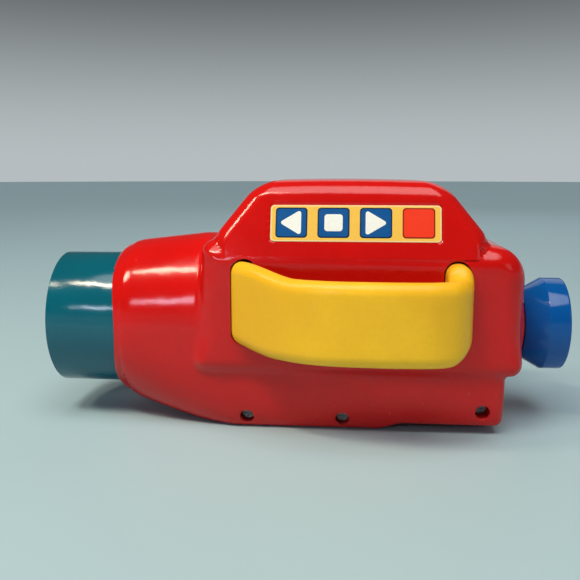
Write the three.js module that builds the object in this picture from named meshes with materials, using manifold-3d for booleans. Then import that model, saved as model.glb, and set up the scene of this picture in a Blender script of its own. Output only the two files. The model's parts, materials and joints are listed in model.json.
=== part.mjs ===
// Toy video camera: a two-half casing with a turning lens hood, a turning eyepiece and a hand strap.
// Millimetres, +Z up. The lens hood points along -X and the eyepiece along +X. The side with the strap
// and the label faces -Y. The origin is the middle of the bottom of the whole camera's bounding box.
import * as THREE from 'three';
import { LoftGeometry } from 'three/addons/geometries/LoftGeometry.js';
import { mergeVertices } from 'three/addons/utils/BufferGeometryUtils.js';
import Module from 'manifold-3d';

const wasm = await Module();
wasm.setup();

// ---------------------------------------------------------------- driving dimensions

const halfLength = 140;          // hood rim to eyepiece rim is twice this
const opticalZ = 52.75;          // height of the line of sight above the base
const wall = 2.5;                // casing wall
const gap = 0.3;                 // clearance between pieces that touch
const roundSegments = 36;

// Lower hull: a round barrel at the lens end that turns into a flat-bottomed body.
const noseX = -106.4;            // front edge of the barrel
const noseLength = 14.4;         // length of the rounded-over front edge
const noseShrink = 0.145;        // share of its size that the barrel loses at the front edge
const hullRearX = 104;
const hullRearRadius = 5;
const middleZ = 63;              // the casing's sections are laid out round this height
const capRadius = 4;
const capRise = 0.04;
const cornerCrowding = 0.09;     // how much closer the sections' points lie towards the corners
const outerPoints = 56;
const innerPoints = 28;
const barrelFrontX = -99;        // the barrel widens from here to the body
const barrelRearX = -58;
const barrelWidthFront = 40;     // half widths
const barrelWidthRear = 41.5;
const barrelTopFront = 44.6;     // top of the barrel above the line of sight
const barrelTopRear = 49.3;
const chinFront = 45.6;          // underside of the hull below the line of sight, at chinStartX
const chinRear = 58.75;          // and at chinEndX, where the flat base cuts it off
const chinStartX = -100;
const chinEndX = -38;
const chinSquareness = 2.9;
const baseEdgeRadius = 2.5;
const riseStartX = 38;           // the base steps up a little behind the middle screw
const riseEndX = 53;
const rearRise = 4.4;

// Upper body: a slab that stands proud of the hull, with a sloping hump on top.
const bodyHalfWidth = 46;
const bodyFrontX = -56;
const bodyRearX = 111.8;
const bodyBottomZ = 32.6;
const bodyTopZ = 101.2;          // at the front end; it falls slightly to the rear
const bodyTopFall = 0.012;
const bodyRearTopRadius = 17;
const bodyEdgeRadius = 6.5;
const humpTopZ = 132;
const humpMiddleX = 18;
const humpCrown = 0.0004;
const humpSlope = THREE.MathUtils.degToRad(51.5);
const humpFrontX = -43;          // where each slope is at humpSlopeZ
const humpRearX = 89;
const humpSlopeZ = 108;
const humpFootZ = 98.5;
const humpFootHalfWidth = 42.5;
const humpLean = THREE.MathUtils.degToRad(18);
const humpEdgeRadius = 8;

// Boss round the eyepiece on the rear wall.
const bossRadius = 19.6;
const bossEndX = 117;

// Lens hood and what turns with it.
const hoodRadius = 37.4;
const hoodInnerRadius = 34.8;
const hoodMouthRadius = 36.4;
const hoodShoulderX = -99;       // behind it the hood steps down to its neck
const neckRadius = 34.2;
const neckInnerRadius = 31;
const neckEndX = -86;
const hoodBoreRadius = 38;
const lensThickness = 4.4;
const lensFacets = 6;
const retainerLength = 2.6;
const bulkheadX = -97.6;         // partition that the neck runs in
const bulkheadThickness = 3;
const clickTeeth = 24;
const clickRingRadius = 36.7;
const clickToothDepth = 1.5;
const clickRingLength = 6;

// Click spring: a leaf whose nib rides over the teeth.
const springY = 7;
const springWidth = 8;
const springThickness = 0.8;
const springScrewX = -70;
const springTailX = -65;

// Sight cone between the hood and the eyepiece.
const sightFrontX = -82;
const sightRearX = 100;
const sightFrontRadius = 28;
const sightRearRadius = 14;
const sightWall = 1.6;
const sightRibs = [-62, 62];

// Eyepiece.
const eyepieceRimRadius = 25.3;
const eyepieceConeX = 117.5;
const eyepieceConeRadius = 18.7;
const eyepieceRimX = 129;
const spigotRadius = 12.6;
const spigotBore = 9.8;
const spigotEndX = 103;
const eyeLensRadius = 13;
const eyeLensX = 120.4;
const eyeLensThickness = 2.6;

// Hand strap.
const strapReach = 77.3;         // from the mid-plane to the strap's outer face
const strapThickness = 7;
const strapRoundness = 5.5;      // radius of the long edges of its outer face
const strapInnerRadius = 1.4;
const strapTongueThickness = 4.6;
const strapRearThickness = 12.4; // where it enters the rear slot
const strapLowZ = 44.4;
const strapHighZ = 85.4;
const strapSlots = [
  { x: -29.9, topZ: 92.7 },
  { x: 76.4, topZ: 91.8 },
];
const slotWidth = 15;
const slotBottomZ = 45.4;
const strapSteps = 63;
const strapStudRadius = 3;
const strapStuds = [-44, 91];
const strapStudZ = 70;

// Label on the sloping side of the hump.
const labelWidth = 86;
const labelHeight = 19.3;
const labelThickness = 0.6;
const labelMiddleX = 25.9;
const labelMiddleZ = 110.3;
const labelCorner = 2;

// Screws that close the casing.
const screwPlaces = [
  { name: 'casing_screw_front', x: -30.4, z: 6.8, headY: -30 },
  { name: 'casing_screw_middle', x: 20.6, z: 6.8, headY: -30 },
  { name: 'casing_screw_rear', x: 93, z: 12.9, headY: -30 },
  { name: 'label_screw_front', x: -4, z: labelMiddleZ, headY: -31 },
  { name: 'label_screw_rear', x: 56, z: labelMiddleZ, headY: -31 },
];
const recessRadius = 3.7;
const pillarRadius = 5;
const headRadius = 3;
const headLength = 2.2;
const shankRadius = 1.3;
const shankLength = 44;

// The strap makes the camera reach further towards -Y than towards +Y.
const midPlaneY = (strapReach - bodyHalfWidth) / 2;

// ---------------------------------------------------------------- materials

function plastic(hex, roughness) {
  return new THREE.MeshStandardMaterial({ color: hex, roughness, metalness: 0 });
}

const materials = {
  red: plastic(0xd01a14, 0.25),
  teal: plastic(0x0b5560, 0.22),
  blue: plastic(0x0a5aa8, 0.25),
  yellow: plastic(0xf0b62c, 0.45),
  label: plastic(0xf5cb55, 0.4),
  white: plastic(0xe9e7df, 0.45),
  dark: plastic(0x26272b, 0.6),
  clear: new THREE.MeshStandardMaterial({
    color: 0xe8f2f4, roughness: 0.05, metalness: 0, transparent: true, opacity: 0.4,
  }),
  steel: new THREE.MeshStandardMaterial({ color: 0xa9abae, roughness: 0.35, metalness: 1 }),
};

// ---------------------------------------------------------------- solids

function solid(geometry) {
  const bare = new THREE.BufferGeometry().copy(geometry);
  bare.deleteAttribute('normal');
  bare.deleteAttribute('uv');
  const merged = mergeVertices(bare, 1e-4);
  const old = merged.index.array;
  const kept = [];
  for (let i = 0; i < old.length; i += 3) {
    const [a, b, c] = [old[i], old[i + 1], old[i + 2]];
    if (a !== b && b !== c && c !== a) kept.push(a, b, c);
  }
  return new wasm.Manifold(new wasm.Mesh({
    numProp: 3,
    vertProperties: merged.attributes.position.array,
    triVerts: new Uint32Array(kept),
  }));
}

function geometryOf(manifold) {
  const mesh = manifold.getMesh();
  const geometry = new THREE.BufferGeometry();
  geometry.setAttribute('position', new THREE.Float32BufferAttribute(mesh.vertProperties, 3));
  geometry.setIndex(new THREE.BufferAttribute(new Uint32Array(mesh.triVerts), 1));
  geometry.computeVertexNormals();
  return geometry;
}

function box(x0, x1, y0, y1, z0, z1) {
  const geometry = new THREE.BoxGeometry(x1 - x0, y1 - y0, z1 - z0);
  geometry.translate((x0 + x1) / 2, (y0 + y1) / 2, (z0 + z1) / 2);
  return solid(geometry);
}

// A body turned about the line of sight: points are [x, radius], round the section once.
function turned(points, segments = roundSegments) {
  const profile = points.map(([x, radius]) => new THREE.Vector2(radius, x));
  profile.push(profile[0].clone());
  const geometry = new THREE.LatheGeometry(profile, segments);
  geometry.rotateZ(-Math.PI / 2);
  geometry.translate(0, 0, opticalZ);
  const made = solid(geometry);
  return made.volume() > 0 ? made : turned([...points].reverse(), segments);
}

// A round bar along Y.
function barY(x, z, radius, y0, y1, segments = 14) {
  const geometry = new THREE.CylinderGeometry(radius, radius, y1 - y0, segments);
  geometry.translate(x, (y0 + y1) / 2, z);
  return solid(geometry);
}

// A round bar along Z.
function barZ(x, y, radius, z0, z1, segments = 16) {
  const geometry = new THREE.CylinderGeometry(radius, radius, z1 - z0, segments);
  geometry.rotateX(Math.PI / 2);
  geometry.translate(x, y, (z0 + z1) / 2);
  return solid(geometry);
}

// ---------------------------------------------------------------- casing shape

// Meeting of two bodies with a rounded outer edge, from their signed distances.
function roundMeet(a, b, radius) {
  const corner = Math.hypot(Math.max(radius + a, 0), Math.max(radius + b, 0));
  return Math.min(-radius, Math.max(a, b)) + corner;
}

// Joining of two bodies with a hollow fillet where they meet.
function roundJoin(a, b, radius) {
  const corner = Math.hypot(Math.max(radius - a, 0), Math.max(radius - b, 0));
  return Math.max(radius, Math.min(a, b)) - corner;
}

function smoothStep(from, to, x) {
  return THREE.MathUtils.smoothstep(x, from, to);
}

// How much the barrel keeps of its size near its rounded front edge.
function noseShare(x) {
  const t = THREE.MathUtils.clamp((noseX + noseLength - x) / noseLength, 0, 1);
  return 1 - noseShrink * (1 - Math.sqrt(1 - t * t));
}

// A size that changes evenly along the barrel, from its front end to the body.
function alongBarrel(x, front, rear) {
  const t = THREE.MathUtils.clamp((x - barrelFrontX) / (barrelRearX - barrelFrontX), -0.2, 1);
  return THREE.MathUtils.lerp(front, rear, t);
}

function hullBottom(x) {
  const t = THREE.MathUtils.clamp((x - chinStartX) / (chinEndX - chinStartX), -0.1, 1);
  return THREE.MathUtils.lerp(chinFront, chinRear, t);
}

// The underside goes from round at the lens to square-cornered over the base.
function bottomPower(x) {
  const t = THREE.MathUtils.clamp((x - chinStartX) / (chinEndX - chinStartX), 0, 1);
  return 2 + chinSquareness * t ** 1.1;
}

function baseHeight(x) {
  return rearRise * smoothStep(riseStartX, riseEndX, x);
}

function hullDistance(x, y, z) {
  const up = z - opticalZ;
  const power = up > 0 ? 2 : bottomPower(x);
  const halfHeight = up > 0 ? alongBarrel(x, barrelTopFront, barrelTopRear) : hullBottom(x);
  const share = noseShare(x);
  const across = Math.abs(y) / (alongBarrel(x, barrelWidthFront, barrelWidthRear) * share);
  const along = Math.abs(up) / (halfHeight * share);
  const ratio = Math.max((across ** power + along ** power) ** (1 / power), 1e-6);
  const radial = Math.hypot(y, up) * (1 - 1 / ratio);
  const onBase = roundMeet(radial, baseHeight(x) - z, baseEdgeRadius);
  return Math.max(roundMeet(onBase, x - hullRearX, hullRearRadius), noseX - x);
}

function bodyDistance(x, y, z) {
  const top = z - (bodyTopZ - bodyTopFall * (x - bodyFrontX));
  const upperRear = roundMeet(top, x - bodyRearX, bodyRearTopRadius);
  const lowerFront = roundMeet(bodyBottomZ - z, bodyFrontX - x, bodyEdgeRadius);
  const outline = roundMeet(upperRear, lowerFront, bodyEdgeRadius);
  return roundMeet(outline, Math.abs(y) - bodyHalfWidth, bodyEdgeRadius);
}

function humpDistance(x, y, z) {
  const sine = Math.sin(humpSlope);
  const cosine = Math.cos(humpSlope);
  const front = sine * (humpFrontX - x) + cosine * (z - humpSlopeZ);
  const rear = sine * (x - humpRearX) + cosine * (z - humpSlopeZ);
  const top = z - humpTopZ + humpCrown * (x - humpMiddleX) ** 2;
  const side = Math.cos(humpLean) * (Math.abs(y) - humpFootHalfWidth) + Math.sin(humpLean) * (z - humpFootZ);
  const frontTop = roundMeet(front, top, humpEdgeRadius);
  const outline = roundMeet(frontTop, rear, humpEdgeRadius);
  return Math.max(roundMeet(outline, side, humpEdgeRadius), humpFootZ - 2.5 - z);
}

function casingDistance(x, y, z) {
  const lower = roundJoin(hullDistance(x, y, z), bodyDistance(x, y, z), 3);
  return roundJoin(lower, humpDistance(x, y, z), 4);
}

// The casing's surface, seen from its middle line, in a plane across X.
function surfacePoint(x, angle, inset) {
  let inside = capRadius;
  let outside = 110;
  for (let step = 0; step < 22; step += 1) {
    const r = (inside + outside) / 2;
    const d = casingDistance(x, r * Math.cos(angle), middleZ + r * Math.sin(angle)) + inset;
    if (d < 0) inside = r;
    else outside = r;
  }
  return pointAround(x, angle, inside);
}

function pointAround(x, angle, radius) {
  return new THREE.Vector3(x, radius * Math.cos(angle), middleZ + radius * Math.sin(angle));
}

// Directions round a section, closer together towards the corners.
function sectionAngles(around) {
  return Array.from({ length: around }, (_, i) => {
    const even = (2 * Math.PI * i) / around;
    return Math.PI / 2 + even + cornerCrowding * Math.sin(4 * even);
  });
}

// The casing as one closed body, lofted through sections across X. Each end wall narrows to a small disc.
function casingBody(stations, around, inset) {
  const angles = sectionAngles(around);
  const sections = stations.map((x) => angles.map((angle) => surfacePoint(x, angle, inset)));
  sections.unshift(angles.map((angle) => pointAround(stations[0] - capRise, angle, capRadius)));
  sections.push(angles.map((angle) => pointAround(stations.at(-1) + capRise, angle, capRadius)));
  return solid(new LoftGeometry(sections, { capStart: true, capEnd: true }));
}

function stationsBetween(from, to, count) {
  return Array.from({ length: count }, (_, i) => from + ((to - from) * i) / (count - 1));
}

const outerStations = [
  noseX + 0.1, -104.6, -101.5, -96, -84, -70, -57, -55.5, -53.5, -50,
  ...stationsBetween(-45, -17, 7),
  18, 37, 45.5, 54, 68,
  ...stationsBetween(74, 96, 5),
  100.5, 102.6, 103.1, 107, 110, 111.3, bodyRearX - 0.05,
];
const innerStations = [
  noseX + 4, -96, -76, -57, -54, -50, -40, -30, -20, 18, 38, 53, 70, 82, 92, 99.5, 100.6,
  105, bodyRearX - wall - 0.05,
];

// ---------------------------------------------------------------- casing halves

function pillar(place, y0, y1) {
  return barY(place.x, place.z, pillarRadius, y0, y1);
}

// The partition that the hood's neck runs in, and the ribs that carry the sight cone.
function partitions() {
  const plates = [box(
    bulkheadX, bulkheadX + bulkheadThickness, -60, 60, 0, 140,
  ).subtract(turned([
    [bulkheadX - 1, 0], [bulkheadX - 1, neckRadius + gap],
    [bulkheadX + bulkheadThickness + 1, neckRadius + gap], [bulkheadX + bulkheadThickness + 1, 0],
  ]))];
  for (const x of sightRibs) {
    const hole = sightRadiusAt(x) + 0.6;
    plates.push(box(x - 1, x + 1, -60, 60, 0, 90).subtract(turned([
      [x - 2, 0], [x - 2, hole], [x + 2, hole], [x + 2, 0],
    ])));
  }
  const midWall = casingBody(innerStations, innerPoints, wall / 2);
  return plates.reduce((sum, plate) => sum.add(plate)).intersect(midWall);
}

function sightRadiusAt(x) {
  const t = (x - sightFrontX) / (sightRearX - sightFrontX);
  return THREE.MathUtils.lerp(sightFrontRadius, sightRearRadius, t);
}

function rearBoss() {
  return turned([
    [bodyRearX - 6, 0], [bodyRearX - 6, bossRadius], [bossEndX - 2, bossRadius],
    [bossEndX - 0.6, bossRadius - 0.6], [bossEndX, bossRadius - 2], [bossEndX, 0],
  ]);
}

function bores() {
  const hood = turned([
    [noseX - 5, 0], [noseX - 5, hoodBoreRadius], [bulkheadX - 0.6, hoodBoreRadius], [bulkheadX - 0.6, 0],
  ]);
  const eyepiece = turned([
    [bodyRearX - 15, 0], [bodyRearX - 15, spigotRadius + gap],
    [bossEndX + 5, spigotRadius + gap], [bossEndX + 5, 0],
  ]);
  return hood.add(eyepiece);
}

function casingShell() {
  const outer = casingBody(outerStations, outerPoints, 0).add(rearBoss());
  const cavity = casingBody(innerStations, innerPoints, wall);
  return { outer, shell: outer.subtract(cavity).add(partitions()).subtract(bores()) };
}

const casing = casingShell();

// Arch-topped slot for one end of the strap.
function strapSlot({ x, topZ }) {
  const shape = new THREE.Shape();
  const half = slotWidth / 2;
  const archZ = topZ - half;
  shape.moveTo(x - half, slotBottomZ);
  shape.lineTo(x + half, slotBottomZ);
  shape.lineTo(x + half, archZ);
  shape.absarc(x, archZ, half, 0, Math.PI, false);
  const geometry = new THREE.ExtrudeGeometry(shape, { depth: 10, bevelEnabled: false, curveSegments: 10 });
  geometry.rotateX(Math.PI / 2);
  geometry.translate(0, -bodyHalfWidth + 6, 0);
  return solid(geometry);
}

// Places a flat shape drawn round 0,0 on the hump's sloping side, sunk by depth.
function onLabelPlane(geometry, depth) {
  const faceY = -humpFootHalfWidth + Math.tan(humpLean) * (labelMiddleZ - humpFootZ);
  geometry.translate(0, 0, -depth);
  geometry.rotateX(Math.PI / 2 - humpLean);
  geometry.translate(labelMiddleX, faceY, labelMiddleZ);
  return geometry;
}

function roundedPlate(width, height, corner, thickness) {
  const shape = new THREE.Shape();
  const w = width / 2;
  const h = height / 2;
  shape.moveTo(-w + corner, -h);
  shape.absarc(w - corner, -h + corner, corner, -Math.PI / 2, 0, false);
  shape.absarc(w - corner, h - corner, corner, 0, Math.PI / 2, false);
  shape.absarc(-w + corner, h - corner, corner, Math.PI / 2, Math.PI, false);
  shape.absarc(-w + corner, -h + corner, corner, Math.PI, 1.5 * Math.PI, false);
  return new THREE.ExtrudeGeometry(shape, { depth: thickness, bevelEnabled: false, curveSegments: 4 });
}

function nearShell() {
  let part = casing.shell;
  for (const place of screwPlaces) {
    part = part.add(pillar(place, -60, 0).intersect(casing.outer));
  }
  for (const x of strapStuds) {
    part = part.add(barY(x, strapStudZ, strapStudRadius, -bodyHalfWidth + 1, -bodyHalfWidth + wall + 5.4));
  }
  part = part.intersect(box(-150, 150, -60, -gap / 2, -5, 150));
  for (const place of screwPlaces) {
    part = part.subtract(barY(place.x, place.z, recessRadius, -60, place.headY));
    part = part.subtract(barY(place.x, place.z, shankRadius + gap, -40, 5, 12));
  }
  for (const slot of strapSlots) part = part.subtract(strapSlot(slot));
  for (const x of strapStuds) {
    part = part.subtract(barY(x, strapStudZ, 1.2 + gap, -bodyHalfWidth + wall, -20, 12));
  }
  const recess = roundedPlate(labelWidth + 0.8, labelHeight + 0.8, labelCorner + 0.4, 6);
  return part.subtract(solid(onLabelPlane(recess, labelThickness + gap)));
}

function farShell() {
  let part = casing.shell;
  for (const place of screwPlaces) {
    part = part.add(pillar(place, 0, 60).intersect(casing.outer));
  }
  const springPad = box(springTailX - 10, springTailX, springY - 5, springY + 5, springLeafTopZ() + gap, 100);
  part = part.add(springPad.intersect(casing.outer));
  part = part.intersect(box(-150, 150, gap / 2, 60, -5, 150));
  for (const place of screwPlaces) {
    part = part.subtract(barY(place.x, place.z, shankRadius + gap, -5, place.headY + shankLength + 2, 12));
  }
  return part.subtract(barZ(springScrewX, springY, 1.2 + gap, 80, springLeafTopZ() + gap + 4.5, 12));
}

// ---------------------------------------------------------------- hood group

function lensHood() {
  return turned([
    [-halfLength, hoodMouthRadius], [-halfLength, hoodRadius - 0.8], [-halfLength + 0.3, hoodRadius - 0.2],
    [-halfLength + 1, hoodRadius], [hoodShoulderX, hoodRadius], [hoodShoulderX, neckRadius],
    [neckEndX, neckRadius], [neckEndX, neckInnerRadius], [hoodShoulderX - 3, neckInnerRadius],
    [hoodShoulderX - 3, hoodInnerRadius],
  ], 48);
}

// Clear disc whose front is cut into a ring of flat sloping facets round a flat middle one.
function prismLens() {
  const back = hoodShoulderX - 3 - gap;
  const radius = hoodInnerRadius - gap;
  let part = turned([[back - lensThickness, 0], [back - lensThickness, radius], [back, radius], [back, 0]], 36);
  for (let i = 0; i < lensFacets; i += 1) {
    const cutter = new THREE.BoxGeometry(10, 80, 60);
    cutter.translate(-5, 0, 30);
    cutter.rotateY(THREE.MathUtils.degToRad(4));
    cutter.translate(back - lensThickness, 0, 9);
    cutter.rotateX((2 * Math.PI * i) / lensFacets);
    cutter.translate(0, 0, opticalZ);
    part = part.subtract(solid(cutter));
  }
  return part;
}

function prismRetainer() {
  const end = hoodShoulderX - 3 - 2 * gap - lensThickness;
  const outer = hoodInnerRadius - gap;
  return turned([
    [end - retainerLength, outer - 2.6], [end - retainerLength, outer], [end, outer], [end, outer - 2.6],
  ], 36);
}

function clickRing() {
  const from = bulkheadX + bulkheadThickness + 0.5;
  const shape = new THREE.Shape();
  for (let i = 0; i < clickTeeth * 2; i += 1) {
    const angle = (Math.PI * i) / clickTeeth + Math.PI / 2 + Math.PI / clickTeeth;
    const radius = clickRingRadius - (i % 2) * clickToothDepth;
    const point = [radius * Math.cos(angle), radius * Math.sin(angle)];
    if (i) shape.lineTo(...point);
    else shape.moveTo(...point);
  }
  shape.holes.push(new THREE.Path().absarc(0, 0, neckRadius + gap, 0, 2 * Math.PI, true));
  const geometry = new THREE.ExtrudeGeometry(shape, {
    depth: clickRingLength, bevelEnabled: false, curveSegments: 24,
  });
  geometry.rotateY(Math.PI / 2);
  geometry.translate(from, 0, opticalZ);
  return solid(geometry);
}

function springLeafTopZ() {
  return opticalZ + clickRingRadius + 2.2;
}

// A flat leaf under its pad, with a rounded nib bent down over the teeth.
function clickSpring() {
  const top = springLeafTopZ();
  const low = top - springThickness;
  const tipX = bulkheadX + bulkheadThickness + 1;
  const nibZ = opticalZ + clickRingRadius + 0.35;
  const shape = new THREE.Shape();
  shape.moveTo(springTailX, low);
  shape.lineTo(springTailX, top);
  shape.lineTo(tipX, top);
  shape.lineTo(tipX, low);
  shape.lineTo(tipX + 1.2, low);
  shape.lineTo(tipX + 2.4, nibZ);
  shape.lineTo(tipX + 3.2, nibZ);
  shape.lineTo(tipX + 4.4, low);
  const geometry = new THREE.ExtrudeGeometry(shape, { depth: springWidth, bevelEnabled: false });
  geometry.rotateX(Math.PI / 2);
  geometry.translate(0, springY + springWidth / 2, 0);
  return solid(geometry).subtract(barZ(springScrewX, springY, 1.2 + gap, 80, 100, 12));
}

function clickScrew() {
  const seat = springLeafTopZ() - springThickness - gap;
  const head = barZ(springScrewX, springY, 2.6, seat - 1.8, seat);
  return head.add(barZ(springScrewX, springY, 1.2, seat - 0.5, seat + 5, 12));
}

// ---------------------------------------------------------------- line of sight

function sightCone() {
  return turned([
    [sightFrontX, sightFrontRadius - sightWall], [sightFrontX, sightFrontRadius],
    [sightRearX, sightRearRadius], [sightRearX, sightRearRadius - sightWall],
  ]);
}

function eyepieceCup() {
  return turned([
    [spigotEndX, spigotBore], [spigotEndX, spigotRadius], [eyepieceConeX, spigotRadius],
    [eyepieceConeX, eyepieceConeRadius], [eyepieceRimX, eyepieceRimRadius],
    [halfLength - 1.2, eyepieceRimRadius], [halfLength - 0.3, eyepieceRimRadius - 0.5],
    [halfLength, eyepieceRimRadius - 1.3], [halfLength, eyepieceRimRadius - 2.6],
    [eyepieceRimX + 2, eyepieceRimRadius - 3.4], [eyeLensX + 5.6, eyeLensRadius + gap],
    [eyeLensX - gap, eyeLensRadius + gap], [eyeLensX - gap, spigotBore],
  ], 40);
}

function eyepieceLens() {
  const edge = 1;
  const bulge = eyeLensThickness / 2;
  const middle = eyeLensX + bulge;
  return turned([
    [middle - bulge, 0], [middle - bulge, 4], [middle - edge + 0.2, 9], [middle - edge, eyeLensRadius],
    [middle + edge, eyeLensRadius], [middle + edge - 0.2, 9], [middle + bulge, 4], [middle + bulge, 0],
  ], 32);
}

function eyepieceLensRing() {
  const from = eyeLensX + eyeLensThickness / 2 + 1 + gap;
  return turned([
    [from, eyeLensRadius - 2.2], [from, eyeLensRadius], [from + 1.4, eyeLensRadius],
    [from + 1.4, eyeLensRadius - 1.6],
  ], 32);
}

// Ring snapped on the eyepiece's spigot behind the rear wall.
function eyepieceLockRing() {
  const to = bodyRearX - wall - 1.4;
  const inner = spigotRadius + gap;
  return turned([[to - 2.4, inner], [to - 2.4, 15], [to, 15], [to, inner]]);
}

// ---------------------------------------------------------------- strap, label, screws

// Outer face of the strap seen from above, from the tongue inside the front slot to the rear one.
function strapPath() {
  const tongueY = -bodyHalfWidth + wall + 0.8;
  return new THREE.CatmullRomCurve3([
    [-50, tongueY], [-43, tongueY], [-38.4, tongueY], [-37.1, tongueY - 0.7], [-36.9, tongueY - 2],
    [-36.3, -47], [-32.5, -51], [-17, -62.5], [-3, -71], [13, -75.8], [32, -strapReach], [50, -strapReach],
    [65, -76], [75, -72], [81, -65], [83.2, -57], [83.4, -48.5], [83.4, -44.4], [83.7, -43.1], [84.8, tongueY],
    [88, tongueY], [97, tongueY],
  ].map(([x, y]) => new THREE.Vector3(x, y, 0)), false, 'centripetal');
}

// Thickness of the strap and the heights of its lower and upper edge at a place on the outer face.
function strapSection(x, y) {
  const atFront = 1 - smoothStep(-42, -14, x);
  const atRear = smoothStep(66, 84, x) * smoothStep(-76, -58, y);
  const tabFront = 1 - smoothStep(-32, -19, x);
  const tabRear = smoothStep(-62, -52, y) * smoothStep(60, 80, x);
  const tongue = Math.max(1 - smoothStep(-39, -37, x), smoothStep(83.5, 85.8, x));
  const thickness = THREE.MathUtils.lerp(strapThickness, strapRearThickness, atRear);
  return {
    thickness: THREE.MathUtils.lerp(thickness, strapTongueThickness, tongue),
    low: strapLowZ + Math.max(4.4 * atFront, 6 * atRear) + 5 * tongue,
    high: strapHighZ + 5 * Math.max(tabFront, tabRear) - 9 * tongue,
  };
}

// Section of the strap: [depth below the outer face, height], round once.
function strapRing({ thickness, low, high }) {
  const outer = Math.min(strapRoundness, thickness - strapInnerRadius - 0.4);
  const inner = strapInnerRadius;
  const ring = [];
  for (const [middleZ, way] of [[high, 1], [low, -1]]) {
    const half = [
      [thickness, -inner], [thickness - inner, 0], [outer, 0], [outer * 0.29, -outer * 0.29], [0, -outer],
    ].map(([depth, z]) => [depth, middleZ + way * z]);
    ring.push(...(way > 0 ? half : half.reverse()));
  }
  return ring;
}

function handStrap() {
  const path = strapPath();
  const sections = stationsBetween(0, 1, strapSteps + 1).map((share) => {
    const point = path.getPoint(share);
    const along = path.getTangent(share);
    const inward = new THREE.Vector3(-along.y, along.x, 0);
    return strapRing(strapSection(point.x, point.y)).map(
      ([depth, z]) => point.clone().addScaledVector(inward, depth).setZ(z),
    );
  });
  let part = solid(new LoftGeometry(sections, { capStart: true, capEnd: true }));
  for (const x of strapStuds) {
    part = part.subtract(barY(x, strapStudZ, strapStudRadius + gap, -60, -20));
  }
  return part;
}

function strapScrew(x) {
  const seat = -bodyHalfWidth + wall + 5.4 + gap;
  const head = barY(x, strapStudZ, 5, seat, seat + 1.8, 16);
  return head.add(barY(x, strapStudZ, 1.2, seat - 4.2, seat + 0.5, 12));
}

function buttonLabel() {
  const plate = roundedPlate(labelWidth, labelHeight, labelCorner, labelThickness);
  return solid(onLabelPlane(plate, labelThickness));
}

function casingScrew(place) {
  const from = place.headY - gap - headLength;
  const head = barY(place.x, place.z, headRadius, from, from + headLength, 16);
  const slot = box(place.x - 2.2, place.x + 2.2, from - 1, from + 1, place.z - 0.4, place.z + 0.4);
  const cross = box(place.x - 0.4, place.x + 0.4, from - 1, from + 1, place.z - 2.2, place.z + 2.2);
  const shank = barY(place.x, place.z, shankRadius, from + headLength - 0.5, from + headLength + shankLength, 12);
  return head.add(shank).subtract(slot).subtract(cross);
}

// ---------------------------------------------------------------- assembly

function named(name, manifold, material) {
  const mesh = new THREE.Mesh(geometryOf(manifold), material.clone());
  mesh.name = name;
  return mesh;
}

function hoodGroup() {
  const group = new THREE.Group();
  group.add(named('lens_hood', lensHood(), materials.teal));
  group.add(named('prism_lens', prismLens(), materials.clear));
  group.add(named('prism_retainer', prismRetainer(), materials.dark));
  group.add(named('click_ring', clickRing(), materials.white));
  return group;
}

function eyepieceGroup() {
  const group = new THREE.Group();
  group.add(named('eyepiece_cup', eyepieceCup(), materials.blue));
  group.add(named('eyepiece_lens', eyepieceLens(), materials.clear));
  group.add(named('eyepiece_lens_ring', eyepieceLensRing(), materials.dark));
  group.add(named('eyepiece_lock_ring', eyepieceLockRing(), materials.white));
  return group;
}

function bodyGroup() {
  const group = new THREE.Group();
  group.add(named('near_shell', nearShell(), materials.red));
  group.add(named('far_shell', farShell(), materials.red));
  group.add(named('sight_cone', sightCone(), materials.dark));
  group.add(named('click_spring', clickSpring(), materials.steel));
  group.add(named('click_screw', clickScrew(), materials.steel));
  group.add(named('hand_strap', handStrap(), materials.yellow));
  group.add(named('strap_screw_front', strapScrew(strapStuds[0]), materials.steel));
  group.add(named('strap_screw_rear', strapScrew(strapStuds[1]), materials.steel));
  group.add(named('button_label', buttonLabel(), materials.label));
  for (const place of screwPlaces) group.add(named(place.name, casingScrew(place), materials.steel));
  return group;
}

const camera = new THREE.Group();
camera.add(bodyGroup(), hoodGroup(), eyepieceGroup());
camera.position.y = midPlaneY;

export default camera;
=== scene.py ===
"""Looks of the toy video camera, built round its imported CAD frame.

Shapes are worked out in millimetres about the camera's own middle plane (y = 0 is where the casing
halves meet) and stored in metres in the CAD frame.
"""
import json
import math

import bmesh
import bpy
import numpy as np
from mathutils import Matrix, Vector


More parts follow.
